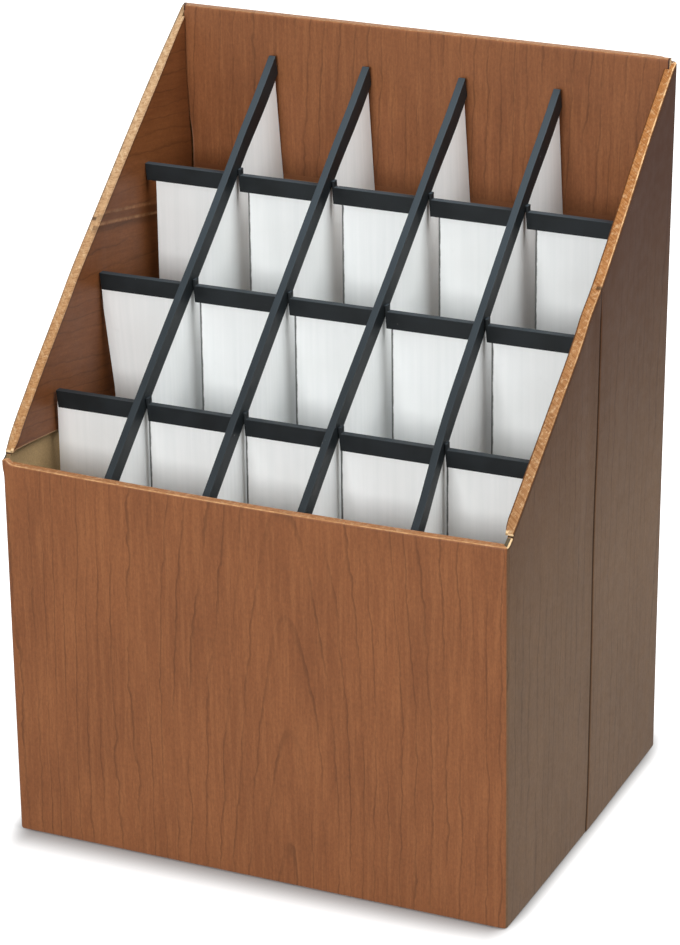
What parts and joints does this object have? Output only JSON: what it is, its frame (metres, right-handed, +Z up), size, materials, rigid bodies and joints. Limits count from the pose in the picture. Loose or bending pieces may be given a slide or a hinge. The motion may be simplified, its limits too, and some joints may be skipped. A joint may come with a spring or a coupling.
{
  "type": "upright roll file",
  "caption": "Upright corrugated-board organizer for rolled documents: a carton with a low front, tall back and sloped sides around a lift-out partition of capped dividers.",
  "frame": {"origin": "middle of the base, on the surface that the carton stands on", "axes": "+Z up, +Y to the tall back, +X to the right seen from the low front"},
  "size_m": [0.3952, 0.305, 0.543],
  "materials": {
    "printed_board": "satin woodgrain print",
    "kraft_board": "plain kraft",
    "white_board": "matt white",
    "cap_plastic": "matt black"
  },
  "bodies": {
    "carton": {"front_panel": "printed_board", "back_panel": "printed_board", "left_side_panel": "printed_board", "right_side_panel": "printed_board", "front_inner_flap": "printed_board", "back_inner_flap": "printed_board", "left_inner_flap": "printed_board", "right_inner_flap": "printed_board", "bottom_flap_front": "kraft_board", "bottom_flap_rear": "kraft_board", "bottom_flap_left": "kraft_board", "bottom_flap_right": "kraft_board", "glue_tab": "kraft_board"},
    "partition": {"long_divider_1": "white_board", "long_divider_2": "white_board", "long_divider_3": "white_board", "long_divider_4": "white_board", "cross_divider_front": "white_board", "cross_divider_middle": "white_board", "cross_divider_rear": "white_board", "long_cap_1": "cap_plastic", "long_cap_2": "cap_plastic", "long_cap_3": "cap_plastic", "long_cap_4": "cap_plastic", "cross_cap_front_1": "cap_plastic", "cross_cap_front_2": "cap_plastic", "cross_cap_front_3": "cap_plastic", "cross_cap_front_4": "cap_plastic", "cross_cap_front_5": "cap_plastic", "cross_cap_middle_1": "cap_plastic", "cross_cap_middle_2": "cap_plastic", "cross_cap_middle_3": "cap_plastic", "cross_cap_middle_4": "cap_plastic", "cross_cap_middle_5": "cap_plastic", "cross_cap_rear_1": "cap_plastic", "cross_cap_rear_2": "cap_plastic", "cross_cap_rear_3": "cap_plastic", "cross_cap_rear_4": "cap_plastic", "cross_cap_rear_5": "cap_plastic"}
  },
  "joints": [
    {"name": "partition_lift", "type": "slide", "parent": "carton", "child": "partition", "axis": [0, 0, 1], "range_m": [0, 0.56]}
  ]
}
